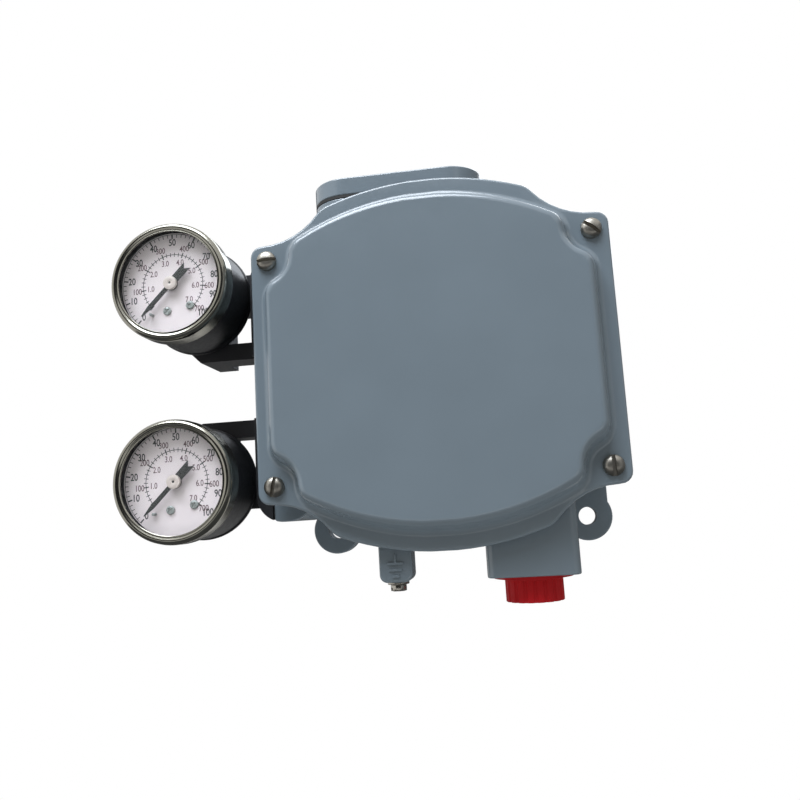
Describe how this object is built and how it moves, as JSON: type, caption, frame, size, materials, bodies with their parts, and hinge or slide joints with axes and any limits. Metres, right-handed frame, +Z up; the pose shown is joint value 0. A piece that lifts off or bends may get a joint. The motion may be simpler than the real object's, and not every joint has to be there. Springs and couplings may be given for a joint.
{
  "type": "valve positioner",
  "caption": "Electro-pneumatic valve positioner: domed grey cover on a cast housing, side-mounted dial gauges, conduit hub with red plug, rear feedback shaft driving a cam and balance beam.",
  "frame": {"origin": "on the feedback shaft's axis, in the rear mounting face, at the centre of the four tapped mounting holes", "axes": "+Z up as installed, -Y towards the viewer of the cover, +Y out of the rear mounting face along the feedback shaft, +X to the right as seen from the front"},
  "size_m": [0.1727, 0.094, 0.1547],
  "materials": {
    "casting_paint": "semi-gloss paint on cast aluminium",
    "block_black": "black anodised aluminium",
    "stainless": "bright turned stainless steel",
    "bezel_steel": "polished stainless steel",
    "gauge_black": "black painted steel",
    "lens_glass": "clear",
    "dial_white": "matt white paint",
    "pointer_black": "matt black paint",
    "brass": "machined",
    "bronze": "machined",
    "rubber": "matt",
    "bare_aluminium": "machined",
    "steel": "ground",
    "black_oxide": "black oxide",
    "coil_plastic": "moulded",
    "terminal_plastic": "moulded",
    "plug_red": "moulded"
  },
  "bodies": {
    "housing": {"housing": "casting_paint", "cover_gasket": "rubber", "output_block": "block_black", "supply_block": "block_black", "block_gaskets": "rubber", "block_screws": "black_oxide", "upper_gauge_socket": "brass", "upper_gauge_case": "gauge_black", "upper_gauge_bezel": "bezel_steel", "upper_gauge_lens": "lens_glass", "upper_gauge_dial": "dial_white", "upper_dial_screws": "stainless", "upper_gauge_movement": "brass", "upper_gauge_tube": "bronze", "lower_gauge_socket": "brass", "lower_gauge_case": "gauge_black", "lower_gauge_bezel": "bezel_steel", "lower_gauge_lens": "lens_glass", "lower_gauge_dial": "dial_white", "lower_dial_screws": "stainless", "lower_gauge_movement": "brass", "lower_gauge_tube": "bronze", "top_cap": "casting_paint", "signal_diaphragm": "rubber", "top_cap_screws": "black_oxide", "shaft_bush": "bronze", "shaft_seal": "rubber", "range_spring": "steel", "lever_pin": "steel", "beam_pin": "steel", "pilot_body": "bare_aluminium", "pilot_screws": "black_oxide", "ip_converter": "coil_plastic", "terminal_block": "terminal_plastic", "terminal_screws": "stainless", "ground_washer": "stainless", "ground_screw": "stainless", "vent_plug": "brass"},
    "cover": {"front_cover": "casting_paint", "cover_screws": "stainless"},
    "plug": {"conduit_plug": "plug_red"},
    "shaft": {"feedback_shaft": "steel", "shaft_clip": "black_oxide", "cam": "steel", "cam_nut": "steel"},
    "follower": {"follower_lever": "steel"},
    "roller": {"follower_roller": "steel"},
    "zero": {"zero_wheel": "brass"},
    "beam": {"balance_beam": "steel"},
    "spool": {"pilot_spool": "steel"},
    "stem": {"diaphragm_stem": "bare_aluminium"},
    "upper_needle": {"upper_pointer": "pointer_black"},
    "lower_needle": {"lower_pointer": "pointer_black"}
  },
  "joints": [
    {"name": "cover_off", "type": "slide", "parent": "housing", "child": "cover", "axis": [0, -1, 0], "range_m": [0, 0.06]},
    {"name": "plug_out", "type": "slide", "parent": "housing", "child": "plug", "axis": [0, 0, -1], "range_m": [0, 0.02]},
    {"name": "shaft_turn", "type": "hinge", "parent": "housing", "child": "shaft", "pos_m": [0, 0, 0], "axis": [0, 1, 0], "range_deg": [0, 90]},
    {"name": "follower_swing", "type": "hinge", "parent": "housing", "child": "follower", "pos_m": [0.034, -0.034, 0.0162], "axis": [0, 1, 0], "range_deg": [0, 6], "deforming": ["range_spring"]},
    {"name": "roller_spin", "type": "hinge", "parent": "follower", "child": "roller", "pos_m": [0, -0.0265, 0.0162], "axis": [0, 1, 0], "continuous": true},
    {"name": "zero_turn", "type": "hinge", "parent": "follower", "child": "zero", "pos_m": [-0.018, -0.034, 0.0215], "axis": [0, 0, 1], "continuous": true},
    {"name": "beam_rock", "type": "hinge", "parent": "housing", "child": "beam", "pos_m": [0.038, -0.034, 0.038], "axis": [0, 1, 0], "range_deg": [-0.8, 0.8], "stiffness_Nm_per_rad": 6, "deforming": ["range_spring"]},
    {"name": "spool_slide", "type": "slide", "parent": "housing", "child": "spool", "axis": [0, 0, 1], "range_m": [-0.00102, 0.00102]},
    {"name": "stem_slide", "type": "slide", "parent": "housing", "child": "stem", "axis": [0, 0, 1], "range_m": [-0.00069, 0.00069], "deforming": ["signal_diaphragm"]},
    {"name": "upper_pointer_turn", "type": "hinge", "parent": "housing", "child": "upper_needle", "pos_m": [-0.0895, -0.07, 0.0336], "axis": [0, 1, 0], "range_deg": [0, 270], "stiffness_Nm_per_rad": 0.0005},
    {"name": "lower_pointer_turn", "type": "hinge", "parent": "housing", "child": "lower_needle", "pos_m": [-0.0895, -0.07, -0.0358], "axis": [0, 1, 0], "range_deg": [0, 270], "stiffness_Nm_per_rad": 0.0005}
  ],
  "couplings": [
    {"joint": "follower_swing", "follows": "shaft_turn", "ratio": 0.066667},
    {"joint": "spool_slide", "follows": "beam_rock", "m_per_rad": 0.073},
    {"joint": "stem_slide", "follows": "beam_rock", "m_per_rad": 0.0487}
  ]
}
